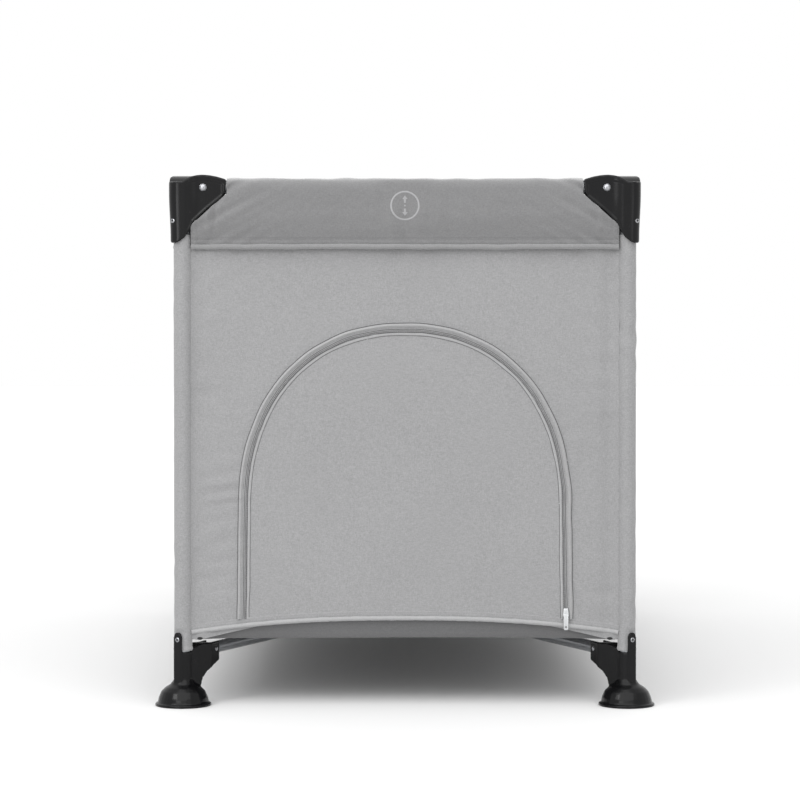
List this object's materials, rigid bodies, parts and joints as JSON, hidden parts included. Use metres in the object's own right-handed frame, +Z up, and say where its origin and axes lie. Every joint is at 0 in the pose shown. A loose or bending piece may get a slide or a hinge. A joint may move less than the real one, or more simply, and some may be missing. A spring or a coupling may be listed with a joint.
{
  "type": "folding playpen",
  "caption": "Rectangular folding playpen with fabric walls, an arched zip door in one end, padded top rails, plastic corners and domed feet.",
  "frame": {"origin": "on the floor, at the middle of the plan", "axes": "+Z up; the short end with the zip door faces -Y, +X is to its right, Y is the length"},
  "size_m": [0.712, 1.312, 0.755],
  "materials": {
    "leg_paint": "satin",
    "bar_paint": "satin",
    "black_plastic": "gloss",
    "chrome": "polished",
    "grey_fabric": "matte",
    "cover_fabric": "matte",
    "mesh_fabric": "matte",
    "floor_fabric": "matte",
    "mattress_fabric": "matte",
    "strap_web": "matte",
    "zip_plastic": "satin"
  },
  "bodies": {
    "leg_front_left": {"leg_front_left": "leg_paint", "corner_front_left": "black_plastic", "foot_front_left": "black_plastic", "rail_rivet_front_left": "chrome", "rail_rivet_left_front": "chrome", "wall_front": "grey_fabric", "wall_left": "mesh_fabric", "floor_fabric": "floor_fabric"},
    "leg_front_right": {"leg_front_right": "leg_paint", "corner_front_right": "black_plastic", "foot_front_right": "black_plastic", "rail_rivet_front_right": "chrome", "rail_rivet_right_front": "chrome", "wall_right": "mesh_fabric"},
    "leg_rear_left": {"leg_rear_left": "leg_paint", "corner_rear_left": "black_plastic", "foot_rear_left": "black_plastic", "rail_rivet_rear_left": "chrome", "rail_rivet_left_rear": "chrome", "wall_rear": "grey_fabric"},
    "leg_rear_right": {"leg_rear_right": "leg_paint", "corner_rear_right": "black_plastic", "foot_rear_right": "black_plastic", "rail_rivet_rear_right": "chrome", "rail_rivet_right_rear": "chrome"},
    "floor_bar_front_left": {"floor_bar_front_left": "bar_paint"},
    "floor_bar_front_right": {"floor_bar_front_right": "bar_paint"},
    "floor_bar_rear_left": {"floor_bar_rear_left": "bar_paint"},
    "floor_bar_rear_right": {"floor_bar_rear_right": "bar_paint"},
    "floor_hub": {"floor_hub": "black_plastic", "fold_strap": "strap_web"},
    "rail_front_left": {"rail_front_left": "bar_paint"},
    "rail_front_right": {"rail_front_right": "bar_paint"},
    "latch_front": {"latch_front": "black_plastic", "rail_cover_front": "cover_fabric"},
    "latch_button_front": {"latch_button_front": "black_plastic"},
    "rail_rear_left": {"rail_rear_left": "bar_paint"},
    "rail_rear_right": {"rail_rear_right": "bar_paint"},
    "latch_rear": {"latch_rear": "black_plastic", "rail_cover_rear": "cover_fabric"},
    "latch_button_rear": {"latch_button_rear": "black_plastic"},
    "rail_left_front": {"rail_left_front": "bar_paint"},
    "rail_left_rear": {"rail_left_rear": "bar_paint"},
    "latch_left": {"latch_left": "black_plastic", "rail_cover_left": "cover_fabric"},
    "latch_button_left": {"latch_button_left": "black_plastic"},
    "rail_right_front": {"rail_right_front": "bar_paint"},
    "rail_right_rear": {"rail_right_rear": "bar_paint"},
    "latch_right": {"latch_right": "black_plastic", "rail_cover_right": "cover_fabric"},
    "latch_button_right": {"latch_button_right": "black_plastic"},
    "door": {"door": "grey_fabric"},
    "zip_slider": {"zip_slider": "zip_plastic"},
    "zip_pull": {"zip_pull": "zip_plastic"},
    "mattress_panel_1": {"mattress_panel_1": "mattress_fabric"},
    "mattress_panel_2": {"mattress_panel_2": "mattress_fabric"},
    "mattress_panel_3": {"mattress_panel_3": "mattress_fabric"},
    "mattress_panel_4": {"mattress_panel_4": "mattress_fabric"}
  },
  "joints": [
    {"name": "fold", "type": "hinge", "parent": "leg_front_left", "child": "floor_bar_front_left", "pos_m": [-0.281, -0.581, 0.0766], "axis": [0.9083, -0.4182, 0], "range_deg": [0, 87], "deforming": ["wall_front", "wall_rear", "wall_left", "wall_right", "door", "floor_fabric", "rail_cover_front", "rail_cover_rear", "rail_cover_left", "rail_cover_right", "mattress_panel_1", "mattress_panel_2", "mattress_panel_3", "mattress_panel_4"]},
    {"name": "hub_on_front_left_bar", "type": "hinge", "parent": "floor_bar_front_left", "child": "floor_hub", "pos_m": [-0.025, -0.025, 0.0766], "axis": [0.9083, -0.4182, 0], "range_deg": [-87, 0]},
    {"name": "bar_front_right_at_hub", "type": "hinge", "parent": "floor_hub", "child": "floor_bar_front_right", "pos_m": [0.025, -0.025, 0.0766], "axis": [0.9083, 0.4182, 0], "range_deg": [0, 87]},
    {"name": "leg_front_right_on_bar", "type": "hinge", "parent": "floor_bar_front_right", "child": "leg_front_right", "pos_m": [0.281, -0.581, 0.0766], "axis": [0.9083, 0.4182, 0], "range_deg": [-87, 0]},
    {"name": "bar_rear_left_at_hub", "type": "hinge", "parent": "floor_hub", "child": "floor_bar_rear_left", "pos_m": [-0.025, 0.025, 0.0766], "axis": [-0.9083, -0.4182, 0], "range_deg": [0, 87]},
    {"name": "leg_rear_left_on_bar", "type": "hinge", "parent": "floor_bar_rear_left", "child": "leg_rear_left", "pos_m": [-0.281, 0.581, 0.0766], "axis": [-0.9083, -0.4182, 0], "range_deg": [-87, 0]},
    {"name": "bar_rear_right_at_hub", "type": "hinge", "parent": "floor_hub", "child": "floor_bar_rear_right", "pos_m": [0.025, 0.025, 0.0766], "axis": [-0.9083, 0.4182, 0], "range_deg": [0, 87]},
    {"name": "leg_rear_right_on_bar", "type": "hinge", "parent": "floor_bar_rear_right", "child": "leg_rear_right", "pos_m": [0.281, 0.581, 0.0766], "axis": [-0.9083, 0.4182, 0], "range_deg": [-87, 0]},
    {"name": "rail_front_left_at_corner", "type": "hinge", "parent": "leg_front_left", "child": "rail_front_left", "pos_m": [-0.286, -0.616, 0.737], "axis": [0, 1, 0], "range_deg": [0, 87]},
    {"name": "latch_front_on_rail", "type": "hinge", "parent": "rail_front_left", "child": "latch_front", "pos_m": [-0.03, -0.616, 0.737], "axis": [0, 1, 0], "range_deg": [-87, 0]},
    {"name": "rail_front_right_at_latch", "type": "hinge", "parent": "latch_front", "child": "rail_front_right", "pos_m": [0.03, -0.616, 0.737], "axis": [0, 1, 0], "range_deg": [-87, 0]},
    {"name": "latch_button_front_press", "type": "slide", "parent": "latch_front", "child": "latch_button_front", "axis": [0, 1, 0], "range_m": [0, 0.003], "stiffness_N_per_m": 400, "springref_m": -0.002},
    {"name": "rail_rear_left_at_corner", "type": "hinge", "parent": "leg_rear_left", "child": "rail_rear_left", "pos_m": [-0.286, 0.616, 0.737], "axis": [0, 1, 0], "range_deg": [0, 87]},
    {"name": "latch_rear_on_rail", "type": "hinge", "parent": "rail_rear_left", "child": "latch_rear", "pos_m": [-0.03, 0.616, 0.737], "axis": [0, 1, 0], "range_deg": [-87, 0]},
    {"name": "rail_rear_right_at_latch", "type": "hinge", "parent": "latch_rear", "child": "rail_rear_right", "pos_m": [0.03, 0.616, 0.737], "axis": [0, 1, 0], "range_deg": [-87, 0]},
    {"name": "latch_button_rear_press", "type": "slide", "parent": "latch_rear", "child": "latch_button_rear", "axis": [0, -1, 0], "range_m": [0, 0.003], "stiffness_N_per_m": 400, "springref_m": -0.002},
    {"name": "rail_left_front_at_corner", "type": "hinge", "parent": "leg_front_left", "child": "rail_left_front", "pos_m": [-0.316, -0.586, 0.737], "axis": [-1, 0, 0], "range_deg": [0, 87]},
    {"name": "latch_left_on_rail", "type": "hinge", "parent": "rail_left_front", "child": "latch_left", "pos_m": [-0.316, -0.03, 0.737], "axis": [-1, 0, 0], "range_deg": [-87, 0]},
    {"name": "rail_left_rear_at_latch", "type": "hinge", "parent": "latch_left", "child": "rail_left_rear", "pos_m": [-0.316, 0.03, 0.737], "axis": [-1, 0, 0], "range_deg": [-87, 0]},
    {"name": "latch_button_left_press", "type": "slide", "parent": "latch_left", "child": "latch_button_left", "axis": [1, 0, 0], "range_m": [0, 0.003], "stiffness_N_per_m": 400, "springref_m": -0.002},
    {"name": "rail_right_front_at_corner", "type": "hinge", "parent": "leg_front_right", "child": "rail_right_front", "pos_m": [0.316, -0.586, 0.737], "axis": [-1, 0, 0], "range_deg": [0, 87]},
    {"name": "latch_right_on_rail", "type": "hinge", "parent": "rail_right_front", "child": "latch_right", "pos_m": [0.316, -0.03, 0.737], "axis": [-1, 0, 0], "range_deg": [-87, 0]},
    {"name": "rail_right_rear_at_latch", "type": "hinge", "parent": "latch_right", "child": "rail_right_rear", "pos_m": [0.316, 0.03, 0.737], "axis": [-1, 0, 0], "range_deg": [-87, 0]},
    {"name": "latch_button_right_press", "type": "slide", "parent": "latch_right", "child": "latch_button_right", "axis": [-1, 0, 0], "range_m": [0, 0.003], "stiffness_N_per_m": 400, "springref_m": -0.002},
    {"name": "door_fold", "type": "hinge", "parent": "leg_front_left", "child": "door", "pos_m": [0, -0.6215, 0.1335], "axis": [1, 0, 0], "range_deg": [0, 100]},
    {"name": "zip_slide", "type": "slide", "parent": "leg_front_right", "child": "zip_slider", "axis": [0, 0, 1], "range_m": [0, 0.12]},
    {"name": "zip_pull_swing", "type": "hinge", "parent": "zip_slider", "child": "zip_pull", "pos_m": [0.229, -0.6266, 0.1312], "axis": [-1, 0, 0], "range_deg": [0, 100]},
    {"name": "mattress_lift", "type": "hinge", "parent": "leg_front_left", "child": "mattress_panel_1", "pos_m": [-0.25618, -0.48658, 0.25618], "axis": [0.7071, 0, 0.7071], "range_deg": [0, 180]},
    {"name": "mattress_crease_1", "type": "hinge", "parent": "mattress_panel_1", "child": "mattress_panel_2", "pos_m": [0, -0.2975, 0.121], "axis": [1, 0, 0], "range_deg": [0, 90]},
    {"name": "mattress_crease_2", "type": "hinge", "parent": "mattress_panel_2", "child": "mattress_panel_3", "pos_m": [0, 0, 0.121], "axis": [1, 0, 0], "range_deg": [0, 90]},
    {"name": "mattress_crease_3", "type": "hinge", "parent": "mattress_panel_3", "child": "mattress_panel_4", "pos_m": [0, 0.2975, 0.121], "axis": [1, 0, 0], "range_deg": [0, 90]}
  ],
  "couplings": [
    {"joint": "hub_on_front_left_bar", "follows": "fold", "ratio": -1},
    {"joint": "bar_front_right_at_hub", "follows": "fold", "ratio": 1},
    {"joint": "leg_front_right_on_bar", "follows": "fold", "ratio": -1},
    {"joint": "bar_rear_left_at_hub", "follows": "fold", "ratio": 1},
    {"joint": "leg_rear_left_on_bar", "follows": "fold", "ratio": -1},
    {"joint": "bar_rear_right_at_hub", "follows": "fold", "ratio": 1},
    {"joint": "leg_rear_right_on_bar", "follows": "fold", "ratio": -1},
    {"joint": "rail_front_left_at_corner", "follows": "fold", "ratio": 1},
    {"joint": "latch_front_on_rail", "follows": "fold", "ratio": -1},
    {"joint": "rail_front_right_at_latch", "follows": "fold", "ratio": -1},
    {"joint": "rail_rear_left_at_corner", "follows": "fold", "ratio": 1},
    {"joint": "latch_rear_on_rail", "follows": "fold", "ratio": -1},
    {"joint": "rail_rear_right_at_latch", "follows": "fold", "ratio": -1},
    {"joint": "rail_left_front_at_corner", "follows": "fold", "ratio": 1},
    {"joint": "latch_left_on_rail", "follows": "fold", "ratio": -1},
    {"joint": "rail_left_rear_at_latch", "follows": "fold", "ratio": -1},
    {"joint": "rail_right_front_at_corner", "follows": "fold", "ratio": 1},
    {"joint": "latch_right_on_rail", "follows": "fold", "ratio": -1},
    {"joint": "rail_right_rear_at_latch", "follows": "fold", "ratio": -1},
    {"joint": "mattress_lift", "follows": "fold", "ratio": 2.069},
    {"joint": "mattress_crease_1", "follows": "fold", "ratio": 1.0345},
    {"joint": "mattress_crease_2", "follows": "fold", "ratio": 1.0345},
    {"joint": "mattress_crease_3", "follows": "fold", "ratio": 1.0345}
  ]
}
